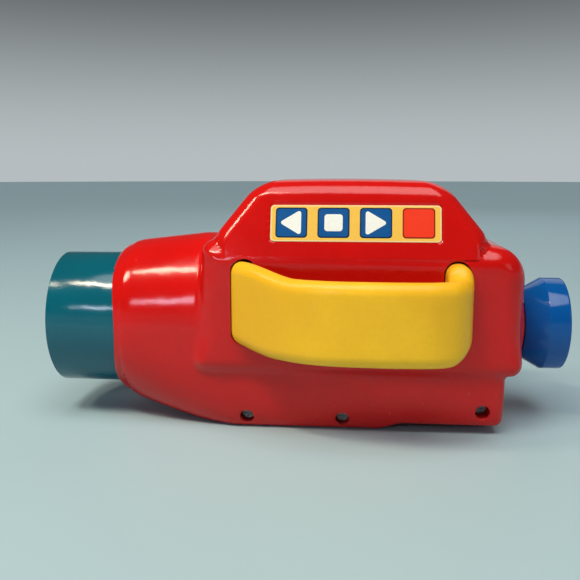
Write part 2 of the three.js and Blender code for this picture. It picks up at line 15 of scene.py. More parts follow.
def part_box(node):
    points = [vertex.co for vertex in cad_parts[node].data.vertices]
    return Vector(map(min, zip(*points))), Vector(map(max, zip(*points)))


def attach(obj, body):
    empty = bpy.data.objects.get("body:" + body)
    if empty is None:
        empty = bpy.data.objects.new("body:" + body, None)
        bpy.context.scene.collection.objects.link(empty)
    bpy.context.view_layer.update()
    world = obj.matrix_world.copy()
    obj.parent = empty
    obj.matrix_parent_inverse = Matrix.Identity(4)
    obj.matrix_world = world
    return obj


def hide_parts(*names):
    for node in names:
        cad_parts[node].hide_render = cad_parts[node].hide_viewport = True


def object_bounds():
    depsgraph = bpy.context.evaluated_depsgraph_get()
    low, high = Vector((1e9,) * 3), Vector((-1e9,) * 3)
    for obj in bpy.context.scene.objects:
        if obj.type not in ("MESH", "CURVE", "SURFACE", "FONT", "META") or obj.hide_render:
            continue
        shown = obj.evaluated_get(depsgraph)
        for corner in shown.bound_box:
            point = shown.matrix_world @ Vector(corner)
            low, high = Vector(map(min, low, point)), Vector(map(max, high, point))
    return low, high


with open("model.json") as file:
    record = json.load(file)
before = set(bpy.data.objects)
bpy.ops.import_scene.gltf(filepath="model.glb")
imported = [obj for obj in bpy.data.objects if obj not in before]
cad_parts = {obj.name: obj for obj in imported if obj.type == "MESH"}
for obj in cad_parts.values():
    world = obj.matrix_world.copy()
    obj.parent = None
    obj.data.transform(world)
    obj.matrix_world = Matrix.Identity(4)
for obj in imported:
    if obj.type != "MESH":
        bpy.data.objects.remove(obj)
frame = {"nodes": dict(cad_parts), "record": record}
cad_low, cad_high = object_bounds()

MM = 0.001


def middle_of(node):
    """Middle of a CAD node's box, in millimetres."""
    low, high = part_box(node)
    return (low + high) / 2 / MM


def in_frame(point):
    """A point in millimetres about the camera's middle plane, as metres in the CAD frame."""
    return Vector((point[0], point[1] + MIDDLE_Y, point[2])) * MM


# ---------------------------------------------------------------- driving dimensions, millimetres

MIDDLE_Y = middle_of("lens_hood").y
OPTICAL_Z = middle_of("lens_hood").z
HALF_LENGTH = (cad_high[0] - cad_low[0]) / 2 / MM
WALL = 2.5
GAP = 0.3  # between pieces that fit into each other
CELL = 1.17  # size of the cells that the casing is meshed with

NOSE_X, NOSE_LENGTH, NOSE_SHRINK = -106.4, 14.4, 0.145
HULL_REAR_X, HULL_REAR_RADIUS = 104, 5
HULL_JOIN_RADIUS = 3  # of the hollow where the body stands out of the barrel
LIP_X, LIP_DEPTH, LIP_BLEND = -98.6, 0.35, 0.6  # the nose steps in a little in front of this
BARREL_FRONT_X, BARREL_REAR_X = -99, -58
BARREL_WIDTH_FRONT, BARREL_WIDTH_REAR = 40, 41.5
BARREL_TOP_FRONT, BARREL_TOP_REAR = 44.6, 49.3
CROWN_DROP, CROWN_DROP_START_X, CROWN_DROP_END_X = 6, 0, 60  # keeps the crown below the body's top
CHIN_FRONT, CHIN_REAR = 45.6, 58.75
CHIN_START_X, CHIN_END_X = -100, -38
CHIN_SQUARENESS, CHIN_SQUARENESS_POWER = 2.9, 1.1  # the chin's section grows squarer to the rear
BASE_EDGE_RADIUS = 2.5
RISE_START_X, RISE_END_X, REAR_RISE = 38, 53, 4.4

BODY_HALF_WIDTH = 46
BODY_FRONT_X, BODY_REAR_X = -56, 111.8
BODY_BOTTOM_Z, BODY_TOP_Z, BODY_TOP_FALL = 32.6, 101.2, 0.012
BODY_REAR_TOP_RADIUS, BODY_EDGE_RADIUS = 17, 6.5
BODY_FRONT_LEAN, BODY_LEAN_Z = 0.07, OPTICAL_Z + 10  # the front leans back, about this height
SHOULDER_RADIUS, SHOULDER_RISE = 12, 22  # of the side edges, reached this far above the bottom
HUMP_TOP_Z, HUMP_MIDDLE_X, HUMP_CROWN = 132, 18, 0.0004
HUMP_SLOPE = math.radians(51.5)
HUMP_FRONT_X, HUMP_REAR_X, HUMP_SLOPE_Z = -43, 89, 108
HUMP_FOOT_Z, HUMP_FOOT_HALF_WIDTH, HUMP_SINK = 98.5, 43.6, 5.5
HUMP_TUCK, HUMP_TUCK_REACH, HUMP_TUCK_RISE = 5, (10, 4), 2  # the slopes' feet turn inwards
HUMP_FOOT_REACH, HUMP_FOOT_RADIUS = 5, 4  # and end this far beyond their crossing with HUMP_SLOPE_Z
HUMP_LEAN = math.radians(18)
HUMP_EDGE_RADIUS = 8
HUMP_JOIN_RADIUS, HUMP_JOIN_LEAST = 3.45, 0.05  # of the hollow round the hump, gone at its sides
HUMP_JOIN_FADE = (40, 43.5)

BOSS_RADIUS, BOSS_END_X, BOSS_EDGE_RADIUS, BOSS_JOIN_RADIUS = 19.6, 117, 1.4, 1.5
BOSS_ROOT, SPIGOT_HOLE_ROOT = 6, 15  # how far inside the body's rear face they start
HOOD_RADIUS, HOOD_INNER_RADIUS, HOOD_MOUTH_RADIUS = 37.4, 34.8, 36.4
HOOD_SHOULDER_X, NECK_RADIUS, NECK_INNER_RADIUS, NECK_END_X = -99, 34.2, 31, -86
HOOD_BORE_RADIUS, BULKHEAD_X, BULKHEAD_THICKNESS = 38, -97.6, 3
SIGHT_RIBS, SIGHT_RIB_HALF_THICKNESS = (-62, 62), 1
SIGHT_CONE_RADIUS, SIGHT_CONE_TAPER, SIGHT_CONE_ROOM = 21, 0.077, 0.6  # narrower to the rear
SPIGOT_RADIUS, SPIGOT_BORE, SPIGOT_END_X = 12.6, 9.8, 103
EYEPIECE_CONE_X, EYEPIECE_CONE_RADIUS = 117.5, 18.7
EYEPIECE_RIM_X, EYEPIECE_RIM_RADIUS = 129, 25.3
EYE_LENS_X, EYE_LENS_RADIUS, EYE_LENS_THICKNESS, EYE_LENS_RIM = 120.4, 13, 2.6, 1.9

STRAP_REACH, STRAP_THICKNESS, STRAP_REAR_THICKNESS, TONGUE_THICKNESS = 77.3, 7, 12.4, 4.6
STRAP_ROUND_DEPTH, STRAP_ROUND_HEIGHT, STRAP_INNER_RADIUS = 5.5, 6.5, 1.4
STRAP_TAB_INNER_RADIUS = 5.6
STRAP_LOW_Z, STRAP_HIGH_Z = 44.4, 85.4
STRAP_END_RISE, STRAP_TAB_HEIGHT = (4.4, 6), 5.6  # lower edge at the front and rear ends; tabs
TONGUE_RISE, TONGUE_DROP = 5, 9.6  # the tongues inside the casing are lower than the strap
# Stretches over which the strap changes: along x, and for its rear end also in depth y.
STRAP_FRONT_SPAN, STRAP_REAR_SPAN, STRAP_REAR_DEPTH = (-42, -14), (66, 84), (-76, -58)
TAB_FRONT_SPAN, TAB_REAR_SPAN, TAB_REAR_DEPTH = (-34, -4), (60, 80), (-62, -52)
TONGUE_FRONT_SPAN, TONGUE_REAR_SPAN = (-39, -37), (83.5, 85.8)
STRAP_SLOTS = ((-37.2, -23.2, 48.2, 92.2), (70.3, 83.9, 49.8, 92.1))  # front, rear, bottom, top
STRAP_STUDS, STRAP_STUD_Z, STRAP_STUD_RADIUS = (-44, 91), 70, 3
STRAP_STUD_END_Y = -38.1
SLOT_CORNER, SLOT_EDGE_RADIUS, SLOT_DEPTH = 6, 0.8, 6

LABEL_WIDTH, LABEL_HEIGHT, LABEL_THICKNESS, LABEL_CORNER = 86, 19, 0.6, 2
LABEL_MIDDLE_X, LABEL_MIDDLE_Z = 25.9, 110.3
LABEL_FACE_Y = -HUMP_FOOT_HALF_WIDTH + math.tan(HUMP_LEAN) * (LABEL_MIDDLE_Z - HUMP_FOOT_Z)
LABEL_ROOM, LABEL_RECESS_EDGE = 0.4, 0.35
LABEL_BORDER = 0.75  # pale edge round the printed field
TILE_WIDTH, TILE_HEIGHT, TILE_CORNER, TILE_PITCH = 16.2, 15.7, 1.8, 21.33
TILE_START, TILE_UP, TILE_COUNT = -32.25, 0.3, 4
TILE_SHADE_LINE = 0.65  # painted shade: the dark line round each printed square stands in for the shade at its edge
SYMBOL_LENGTH, SYMBOL_HEIGHT, SYMBOL_CORNER = 11.2, 13.6, 1.1  # the two triangles
# Layers of the label: bottom, top and bevelled edge, measured out from its face.
PLATE_LAYER = (-LABEL_THICKNESS, 0, 0.12)
FIELD_LAYER = (0.002, 0.03, 0.01)
# the layer of dark lines round the squares, which are painted shade
SHADE_LINE_LAYER = (0.035, 0.07, 0.02)
INK_LAYER = (0.075, 0.16, 0.05)
SYMBOL_LAYER = (0.165, 0.22, 0.03)

RECESS_RADIUS, PILLAR_RADIUS, SHANK_HOLE_RADIUS = 3.7, 5, 1.6
RECESS_EDGE_RADIUS = 0.5
SHANK_HOLE_START, SHANK_HOLE_END = 5, 46  # in front of and behind the seat of the head
SCREWS = (
    (-30.4, 6.8, -30), (20.6, 6.8, -30), (93, 12.9, -30),
    (-4, LABEL_MIDDLE_Z, -31), (56, LABEL_MIDDLE_Z, -31),
)  # x, z, and the y of the seat of each head

# The photograph's view: eye and target in millimetres about the middle plane.
EYE = (24.2, -404.7, 136.7)
TARGET = (-10.5, 0, 69.25)
LENS = 44.7
WORLD_STRENGTH = (0.58, 0.08)  # at the horizon and overhead
FLOOR_RADIUS = 9  # metres

# ---------------------------------------------------------------- the casing's shape


def round_meet(a, b, radius):
    """Meeting of two bodies with a rounded outer edge, from their signed distances."""
    corner = np.hypot(np.maximum(radius + a, 0), np.maximum(radius + b, 0))
    return np.minimum(-radius, np.maximum(a, b)) + corner


def round_join(a, b, radius):
    """Joining of two bodies with a hollow fillet where they meet."""
    corner = np.hypot(np.maximum(radius - a, 0), np.maximum(radius - b, 0))
    return np.maximum(radius, np.minimum(a, b)) - corner


def cut(body, hole, radius):
    """A body less a hole, with a rounded rim."""
    return round_meet(body, -hole, radius)


def share_along(x, start, end):
    """0 before start, 1 after end, and in proportion between them."""
    return np.clip((x - start) / (end - start), 0, 1)


def smooth_step(start, end, x):
    """0 before start, 1 after end, and a smooth rise between them."""
    t = share_along(x, start, end)
    return t * t * (3 - 2 * t)


def along_barrel(x, front, rear):
    """A measure that changes evenly from the barrel's front to its rear."""
    t = (x - BARREL_FRONT_X) / (BARREL_REAR_X - BARREL_FRONT_X)
    t = np.clip(t, -0.2, 1)  # it also runs on in front of the barrel, for the nose
    return front + (rear - front) * t


def hull(x, y, z):
    """The barrel with its nose, and the keel below it that carries the flat base."""
    up = z - OPTICAL_Z
    nose = share_along(-x, -(NOSE_X + NOSE_LENGTH), -NOSE_X)
    share = 1 - NOSE_SHRINK * (1 - np.sqrt(1 - nose * nose))
    chin = (x - CHIN_START_X) / (CHIN_END_X - CHIN_START_X)
    chin = np.clip(chin, -0.1, 1)
    squarer = CHIN_SQUARENESS * np.maximum(chin, 0) ** CHIN_SQUARENESS_POWER
    power = np.where(up > 0, 2, 2 + squarer)
    top = along_barrel(x, BARREL_TOP_FRONT, BARREL_TOP_REAR)
    top = top - CROWN_DROP * smooth_step(CROWN_DROP_START_X, CROWN_DROP_END_X, x)
    half_height = np.where(up > 0, top, CHIN_FRONT + (CHIN_REAR - CHIN_FRONT) * chin) * share
    half_width = along_barrel(x, BARREL_WIDTH_FRONT, BARREL_WIDTH_REAR) * share
    ratio = ((np.abs(y) / half_width) ** power + (np.abs(up) / half_height) ** power) ** (1 / power)
    radial = np.hypot(y, up) * (1 - 1 / np.maximum(ratio, 1e-6))
    radial = radial + LIP_DEPTH * (1 - smooth_step(LIP_X - LIP_BLEND, LIP_X + LIP_BLEND, x))
    base = REAR_RISE * smooth_step(RISE_START_X, RISE_END_X, x)
    on_base = round_meet(radial, base - z, BASE_EDGE_RADIUS)
    return np.maximum(round_meet(on_base, x - HULL_REAR_X, HULL_REAR_RADIUS), NOSE_X - x)


def body(x, y, z):
    """The box-like middle of the casing, with softer edges towards its top."""
    top = z - (BODY_TOP_Z - BODY_TOP_FALL * (x - BODY_FRONT_X))
    upper_rear = round_meet(top, x - BODY_REAR_X, BODY_REAR_TOP_RADIUS)
    front = BODY_FRONT_X + BODY_FRONT_LEAN * (z - BODY_LEAN_Z) - x
    lower_front = round_meet(BODY_BOTTOM_Z - z, front, BODY_EDGE_RADIUS)
    outline = round_meet(upper_rear, lower_front, BODY_EDGE_RADIUS)
    softer = smooth_step(BODY_BOTTOM_Z, BODY_BOTTOM_Z + SHOULDER_RISE, z)
    radius = BODY_EDGE_RADIUS + (SHOULDER_RADIUS - BODY_EDGE_RADIUS) * softer
    return round_meet(outline, np.abs(y) - BODY_HALF_WIDTH, radius)


def hump(x, y, z):
    """The roof-shaped top, whose feet turn inwards so that they sink into the body."""
    sine, cosine = math.sin(HUMP_SLOPE), math.cos(HUMP_SLOPE)
    front = sine * (HUMP_FRONT_X - x) + cosine * (z - HUMP_SLOPE_Z)
    rear = sine * (x - HUMP_REAR_X) + cosine * (z - HUMP_SLOPE_Z)
    top = z - HUMP_TOP_Z + HUMP_CROWN * (x - HUMP_MIDDLE_X) ** 2
    side = math.cos(HUMP_LEAN) * (np.abs(y) - HUMP_FOOT_HALF_WIDTH)
    side = side + math.sin(HUMP_LEAN) * (z - HUMP_FOOT_Z)
    front = round_meet(front, HUMP_FRONT_X - HUMP_FOOT_REACH - x, HUMP_FOOT_RADIUS)
    rear = round_meet(rear, x - HUMP_REAR_X - HUMP_FOOT_REACH, HUMP_FOOT_RADIUS)
    outside, inside = HUMP_TUCK_REACH
    feet = 1 - smooth_step(HUMP_FRONT_X - outside, HUMP_FRONT_X + inside, x)
    feet = feet + smooth_step(HUMP_REAR_X - inside, HUMP_REAR_X + outside, x)
    low = 1 - smooth_step(HUMP_FOOT_Z, HUMP_SLOPE_Z + HUMP_TUCK_RISE, z)
    side = side + HUMP_TUCK * feet * low
    outline = round_meet(round_meet(front, top, HUMP_EDGE_RADIUS), rear, HUMP_EDGE_RADIUS)
    solid = round_meet(outline, side, HUMP_EDGE_RADIUS)
    return np.maximum(solid, HUMP_FOOT_Z - HUMP_SINK - z)


def casing(x, y, z):
    """Outer skin of the whole casing."""
    lower = round_join(hull(x, y, z), body(x, y, z), HULL_JOIN_RADIUS)
    middle = 1 - smooth_step(*HUMP_JOIN_FADE, np.abs(y))
    return round_join(lower, hump(x, y, z), HUMP_JOIN_LEAST + HUMP_JOIN_RADIUS * middle)


def round_bar(across, along, radius, start, end):
    """Bar of a radius from start to end; across is the distance from its axis."""
    return np.maximum(across - radius, np.maximum(start - along, along - end))


def strap_slot(x, y, z, front, rear, bottom, top):
    """Upright slot in the near wall with a round top and rounded lower corners."""
    half = (rear - front) / 2
    corner = np.where(z > (bottom + top) / 2, half, SLOT_CORNER)
    u = np.maximum(np.abs(x - front - half) - half + corner, 0)
    v = np.maximum(np.abs(z - (bottom + top) / 2) - (top - bottom) / 2 + corner, 0)
    return np.maximum(np.hypot(u, v) - corner, y + BODY_HALF_WIDTH - SLOT_DEPTH)


def label_recess(x, y, z):
    """Shallow pocket in the hump's side that the label lies in."""
    sine, cosine = math.sin(HUMP_LEAN), math.cos(HUMP_LEAN)
    up = sine * (y - LABEL_FACE_Y) + cosine * (z - LABEL_MIDDLE_Z)
    out = -cosine * (y - LABEL_FACE_Y) + sine * (z - LABEL_MIDDLE_Z)
    corner = LABEL_CORNER + LABEL_ROOM
    u = np.maximum(np.abs(x - LABEL_MIDDLE_X) - LABEL_WIDTH / 2 - LABEL_ROOM + corner, 0)
    v = np.maximum(np.abs(up) - LABEL_HEIGHT / 2 - LABEL_ROOM + corner, 0)
    return np.maximum(np.hypot(u, v) - corner, -(out + LABEL_THICKNESS + GAP))


def inner_walls(x, y, z, radius, side):
    """Partition, ribs and screw pillars inside one half."""
    middle = BULKHEAD_X + BULKHEAD_THICKNESS / 2
    plate = np.abs(x - middle) - BULKHEAD_THICKNESS / 2
    walls = np.maximum(plate, NECK_RADIUS + GAP - radius)
    for rib_x in SIGHT_RIBS:
        hole = SIGHT_CONE_RADIUS - SIGHT_CONE_TAPER * rib_x + SIGHT_CONE_ROOM
        rib = np.maximum(np.abs(x - rib_x) - SIGHT_RIB_HALF_THICKNESS, hole - radius)
        walls = np.minimum(walls, rib)
    for screw_x, screw_z, _ in SCREWS:
        walls = np.minimum(walls, np.hypot(x - screw_x, z - screw_z) - PILLAR_RADIUS)
    if side < 0:
        for stud_x in STRAP_STUDS:
            across = np.hypot(x - stud_x, z - STRAP_STUD_Z)
            stud = round_bar(across, y, STRAP_STUD_RADIUS, -BODY_HALF_WIDTH, STRAP_STUD_END_Y)
            walls = np.minimum(walls, stud)
    return walls


def casing_half(side):
    """Signed distance of the near (-1) or the far (1) casing half, with its walls and openings."""

    def distance(x, y, z):
        radius = np.hypot(y, z - OPTICAL_Z)
        skin = casing(x, y, z)
        boss = round_meet(radius - BOSS_RADIUS, x - BOSS_END_X, BOSS_EDGE_RADIUS)
        outer = round_join(skin, np.maximum(boss, BODY_REAR_X - BOSS_ROOT - x), BOSS_JOIN_RADIUS)
        hollow = np.maximum(skin + WALL, -inner_walls(x, y, z, radius, side))
        shell = np.maximum(outer, -hollow)
        spigot_hole = np.maximum(radius - SPIGOT_RADIUS - GAP, BODY_REAR_X - SPIGOT_HOLE_ROOT - x)
        shell = cut(shell, spigot_hole, RECESS_EDGE_RADIUS)
        for screw_x, screw_z, head_y in SCREWS:
            across = np.hypot(x - screw_x, z - screw_z)
            if side < 0:
                recess = np.maximum(across - RECESS_RADIUS, y - head_y)
                shell = cut(shell, recess, RECESS_EDGE_RADIUS)
            start, end = head_y - SHANK_HOLE_START, head_y + SHANK_HOLE_END
            shank = round_bar(across, y, SHANK_HOLE_RADIUS, start, end)
            shell = np.maximum(shell, -shank)
        if side < 0:
            for slot in STRAP_SLOTS:
                shell = cut(shell, strap_slot(x, y, z, *slot), SLOT_EDGE_RADIUS)
            shell = cut(shell, label_recess(x, y, z), LABEL_RECESS_EDGE)
        return np.maximum(shell, GAP / 2 - side * y)

    return distance


# ---------------------------------------------------------------- meshing a shape from its distance


def gradient(distance, points):
    """Outward directions of the surface at points."""
    step = 0.02
    slopes = []
    for axis in range(3):
        ahead, behind = points.copy(), points.copy()
        ahead[:, axis] += step
        behind[:, axis] -= step
        slopes.append(distance(*ahead.T) - distance(*behind.T))
    slopes = np.stack(slopes, 1)
    return slopes / np.maximum(np.linalg.norm(slopes, axis=1, keepdims=True), 1e-9)


def edge_crossings(distance, values, low, axis):
    """Where the surface crosses the grid edges along an axis: lower nodes, points, facing."""
    first = [slice(None)] * 3
    second = [slice(None)] * 3
    first[axis], second[axis] = slice(None, -1), slice(1, None)
    a, b = values[tuple(first)], values[tuple(second)]
    nodes = np.argwhere((a < 0) != (b < 0))
    picked = tuple(nodes.T)
    near, far = np.zeros(len(nodes)), np.ones(len(nodes))
    value_near, value_far = a[picked], b[picked]
    leaving = value_near < 0
    points = None
    for _ in range(4):
        share = near + (far - near) * np.clip(value_near / (value_near - value_far), 0.02, 0.98)
        points = low + CELL * nodes
        points[:, axis] += CELL * share
        value = distance(*points.T)
        same = (value < 0) == (value_near < 0)
        near, value_near = np.where(same, share, near), np.where(same, value, value_near)
        far, value_far = np.where(same, far, share), np.where(same, value_far, value)
    return nodes, points, leaving


def polygonise(distance, low, high):
    """Quads on the surface where distance is 0, with its sharp edges kept (dual contouring)."""
    low = np.array(low, float)
    counts = np.ceil((np.array(high) - low) / CELL).astype(int) + 1
    ticks = [low[i] + CELL * np.arange(counts[i]) for i in range(3)]
    grid = np.meshgrid(*ticks, indexing="ij")
    values = distance(*grid)
    ring = ((-1, -1), (0, -1), (0, 0), (-1, 0))
    owners, samples, normals, quads = [], [], [], []
    for axis in range(3):
        nodes, points, leaving = edge_crossings(distance, values, low, axis)
        facing = gradient(distance, points)
        corners = []
        for first, second in ring:
            cell = nodes.copy()
            cell[:, (axis + 1) % 3] += first
            cell[:, (axis + 2) % 3] += second
            corners.append(np.ravel_multi_index(tuple(cell.T), counts))
            owners.append(corners[-1])
            samples.append(points)
            normals.append(facing)
        quad = np.stack(corners, 1)
        quad[~leaving] = quad[~leaving][:, ::-1]
        quads.append(quad)
    owners = np.concatenate(owners)
    samples = np.concatenate(samples)
    normals = np.concatenate(normals)
    cells, owners = np.unique(owners, return_inverse=True)
    vertices = best_points(owners, samples, normals, len(cells))
    corner = low + CELL * np.stack(np.unravel_index(cells, counts), 1)
    vertices = np.clip(vertices, corner + 0.01 * CELL, corner + 0.99 * CELL)
    return vertices, np.searchsorted(cells, np.concatenate(quads))


def best_points(owners, samples, normals, count):
    """For each cell, the point that lies closest to all the tangent planes found on its edges."""

    def total(weights):
        return np.bincount(owners, weights, count)

    found = total(np.ones(len(owners)))
    middle = np.stack([total(samples[:, i]) / found for i in range(3)], 1)
    offset = np.einsum("ij,ij->i", normals, samples - middle[owners])
    matrix = np.zeros((count, 3, 3))
    right = np.zeros((count, 3))
    for i in range(3):
        right[:, i] = total(normals[:, i] * offset)
        for j in range(3):
            matrix[:, i, j] = total(normals[:, i] * normals[:, j])
        matrix[:, i, i] += 0.02 * found
    return middle + np.linalg.solve(matrix, right[:, :, None])[:, :, 0]


# ---------------------------------------------------------------- making pieces


def new_piece(name, vertices, faces, material, rides_on, smooth_under=35):
    """A mesh piece from millimetres about the middle plane."""
    placed = (np.asarray(vertices, float) + (0, MIDDLE_Y, 0)) * MM
    mesh = bpy.data.meshes.new(name)
    mesh.from_pydata(placed.tolist(), [], [list(map(int, face)) for face in faces])
    mesh.validate()
    mesh.shade_smooth()
    mesh.set_sharp_from_angle(angle=math.radians(smooth_under))
    mesh.materials.append(material)
    piece = bpy.data.objects.new(name, mesh)
    bpy.context.scene.collection.objects.link(piece)
    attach(piece, rides_on)
    return piece


def rounded_outline(corners, steps=6):
    """Closed outline from corners (a, b, radius), each with an arc of its radius."""
    points = []
    count = len(corners)
    for i, (a, b, radius) in enumerate(corners):
        here = np.array((a, b), float)
        before = np.array(corners[i - 1][:2], float) - here
        after = np.array(corners[(i + 1) % count][:2], float) - here
        before /= np.linalg.norm(before)
        after /= np.linalg.norm(after)
        if radius <= 0:
            points.append(here)
            continue
        half = math.acos(float(np.clip(before @ after, -1, 1))) / 2
        centre = here + (before + after) / np.linalg.norm(before + after) * radius / math.sin(half)
        start = here + before * radius / math.tan(half) - centre
        end = here + after * radius / math.tan(half) - centre
        turn = math.pi - 2 * half
        for step in range(steps + 1):
            share = step / steps
            arm = math.sin((1 - share) * turn) * start + math.sin(share * turn) * end
            points.append(centre + arm / math.sin(turn))
    return np.array(points)


def turned(name, corners, material, rides_on, segments=160):
    """A body turned about the line of sight, from its outline (x, radius, corner radius)."""
    outline = rounded_outline(corners)
    angles = 2 * math.pi * np.arange(segments) / segments
    count = len(outline)
    vertices = [
        (x, radius * math.cos(angle), OPTICAL_Z + radius * math.sin(angle))
        for angle in angles for x, radius in outline
    ]
    faces = []
    for s in range(segments):
        for i in range(count):
            here, following = s * count, (s + 1) % segments * count
            after = (i + 1) % count
            faces.append((here + i, here + after, following + after, following + i))
    piece = new_piece(name, vertices, faces, material, rides_on)
    return cleaned(piece)


def cleaned(piece):
    """Merges points that lie together, as on the axis, and faces the mesh outwards."""
    mesh = bmesh.new()
    mesh.from_mesh(piece.data)
    bmesh.ops.remove_doubles(mesh, verts=mesh.verts, dist=1e-6)
    bmesh.ops.dissolve_degenerate(mesh, edges=mesh.edges, dist=1e-7)
    bmesh.ops.recalc_face_normals(mesh, faces=mesh.faces)
    mesh.to_mesh(piece.data)
    mesh.free()
    return piece


def bore(piece, start, end, radius, segments=48):
    """Cuts a round hole through a piece, from one point of its axis to another."""
    way = (Vector(end) - Vector(start)) * MM
    middle = in_frame((Vector(end) + Vector(start)) / 2)
    turn = way.to_track_quat("Z", "Y").to_matrix().to_4x4()
    mesh = bmesh.new()
    bmesh.ops.create_cone(
        mesh, cap_ends=True, segments=segments, radius1=radius * MM, radius2=radius * MM,
        depth=way.length, matrix=Matrix.Translation(middle) @ turn,
    )
    tool_mesh = bpy.data.meshes.new("bore")
    mesh.to_mesh(tool_mesh)
    mesh.free()
    tool = bpy.data.objects.new("bore", tool_mesh)
    bpy.context.scene.collection.objects.link(tool)
    modifier = piece.modifiers.new("bore", "BOOLEAN")
    modifier.operation, modifier.object, modifier.solver = "DIFFERENCE", tool, "EXACT"
    graph = bpy.context.evaluated_depsgraph_get()
    piece.data = bpy.data.meshes.new_from_object(piece.evaluated_get(graph))
    piece.modifiers.clear()
    bpy.data.objects.remove(tool)
    piece.data.shade_smooth()
    piece.data.set_sharp_from_angle(angle=math.radians(40))


def casing_piece(name, node, side, material):
    """One half of the casing, with the bore that the hood turns in."""
    # The grid's limits are odd numbers, so that no flat face lies exactly on its nodes.
    low = np.array((NOSE_X - 2, -BODY_HALF_WIDTH - 1.45, -1.45))
    high = np.array((BOSS_END_X + 2, 1.55, HUMP_TOP_Z + 2))
    if side > 0:
        low[1], high[1] = -1.55, BODY_HALF_WIDTH + 2
    vertices, faces = polygonise(casing_half(side), low, high)
    piece = new_piece(name, vertices, faces, material, "casing", 40)
    start, end = (NOSE_X - 5, 0, OPTICAL_Z), (BULKHEAD_X - 0.6, 0, OPTICAL_Z)
    bore(piece, start, end, HOOD_BORE_RADIUS, 160)
    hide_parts(node)


# ---------------------------------------------------------------- strap


def catmull_rom(points, share):
    """Point and direction at a share of a centripetal Catmull-Rom curve through points."""
    points = np.array(points, float)
    span = min(int(share * (len(points) - 1)), len(points) - 2)
    t = share * (len(points) - 1) - span
    b, c = points[span], points[span + 1]
    a = points[span - 1] if span > 0 else 2 * b - c
    d = points[span + 2] if span + 2 < len(points) else 2 * c - b
    ab, bc, cd = (math.sqrt(np.linalg.norm(q - p)) for p, q in ((a, b), (b, c), (c, d)))
    leave = ((b - a) / ab - (c - a) / (ab + bc) + (c - b) / bc) * bc
    arrive = ((c - b) / bc - (d - b) / (bc + cd) + (d - c) / cd) * bc
    square, cube = -3 * b + 3 * c - 2 * leave - arrive, 2 * b - 2 * c + leave + arrive
    direction = leave + 2 * square * t + 3 * cube * t * t
    return b + leave * t + square * t * t + cube * t ** 3, direction / np.linalg.norm(direction)


def strap_path():
    """Outer face of the strap seen from above."""
    tongue = -BODY_HALF_WIDTH + WALL + 0.8
    return (
        (-50, tongue), (-43, tongue), (-38.4, tongue), (-37.1, tongue - 0.7), (-36.9, tongue - 2),
        (-36.3, -47), (-32.5, -51), (-17, -62.5), (-3, -71), (13, -75.8), (32, -STRAP_REACH),
        (50, -STRAP_REACH), (65, -76), (75, -72), (81, -65), (83.2, -57), (83.4, -48.5),
        (83.4, -44.4), (83.7, -43.1), (84.8, tongue), (88, tongue), (97, tongue),
    )


def strap_section(x, y):
    """Thickness, lower edge, upper edge and inner upper radius at a place on the outer face."""
    at_front = 1 - smooth_step(*STRAP_FRONT_SPAN, x)
    at_rear = smooth_step(*STRAP_REAR_SPAN, x) * smooth_step(*STRAP_REAR_DEPTH, y)
    rear_tab = smooth_step(*TAB_REAR_DEPTH, y) * smooth_step(*TAB_REAR_SPAN, x)
    tab = max(1 - smooth_step(*TAB_FRONT_SPAN, x), rear_tab)
    tongue = max(1 - smooth_step(*TONGUE_FRONT_SPAN, x), smooth_step(*TONGUE_REAR_SPAN, x))
    thickness = STRAP_THICKNESS + (STRAP_REAR_THICKNESS - STRAP_THICKNESS) * at_rear
    thickness += (TONGUE_THICKNESS - thickness) * tongue
    front_rise, rear_rise = STRAP_END_RISE
    low = STRAP_LOW_Z + max(front_rise * at_front, rear_rise * at_rear) + TONGUE_RISE * tongue
    high = STRAP_HIGH_Z + STRAP_TAB_HEIGHT * tab - TONGUE_DROP * tongue
    rounder = (STRAP_TAB_INNER_RADIUS - STRAP_INNER_RADIUS) * at_rear * (1 - tongue)
    return thickness, low, high, STRAP_INNER_RADIUS + rounder


def strap_ring(thickness, low, high, inner_radius):
    """Section of the strap as (depth below the outer face, height), once round it."""
    depth = min(STRAP_ROUND_DEPTH, thickness - inner_radius - 0.4)
    ring = []
    for edge, way, radius in ((high, 1, inner_radius), (low, -1, STRAP_INNER_RADIUS)):
        half = [
            (thickness - radius * (1 - math.cos(a)), -radius * (1 - math.sin(a)))
            for a in np.linspace(0, math.pi / 2, 7)
        ]
        half += [
            (depth * (1 - math.cos(a)), -STRAP_ROUND_HEIGHT * (1 - math.sin(a)))
            for a in np.linspace(math.pi / 2, 0, 12)
        ]
        sided = [(d, edge + way * z) for d, z in half]
        ring += sided if way > 0 else sided[::-1]
        if way > 0:
            top_z = high - STRAP_ROUND_HEIGHT
            low_z = low + STRAP_ROUND_HEIGHT
            ring += [(0, top_z + (low_z - top_z) * s) for s in np.linspace(0.12, 0.88, 7)]
    return ring


def strap(material, steps=330):
    """The moulded strap, with the holes for its studs in its two tongues."""
    points = strap_path()
    vertices, faces = [], []
    for step in range(steps + 1):
        place, along = catmull_rom(points, step / steps)
        inward = np.array((-along[1], along[0]))
        ring = strap_ring(*strap_section(*place))
        vertices += [(*(place + depth * inward), z) for depth, z in ring]
    count = len(ring)
    for s in range(steps):
        for i in range(count):
            a, b = s * count + i, s * count + (i + 1) % count
            faces.append((a, b, b + count, a + count))
    faces += [tuple(range(count)), tuple(range(steps * count, (steps + 1) * count))]
    piece = new_piece("strap", vertices, faces, material, "casing", 50)
    cleaned(piece)
    for stud_x in STRAP_STUDS:
        start, end = (stud_x, -60, STRAP_STUD_Z), (stud_x, -20, STRAP_STUD_Z)
        bore(piece, start, end, STRAP_STUD_RADIUS + GAP)
    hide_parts("hand_strap")


# ---------------------------------------------------------------- label


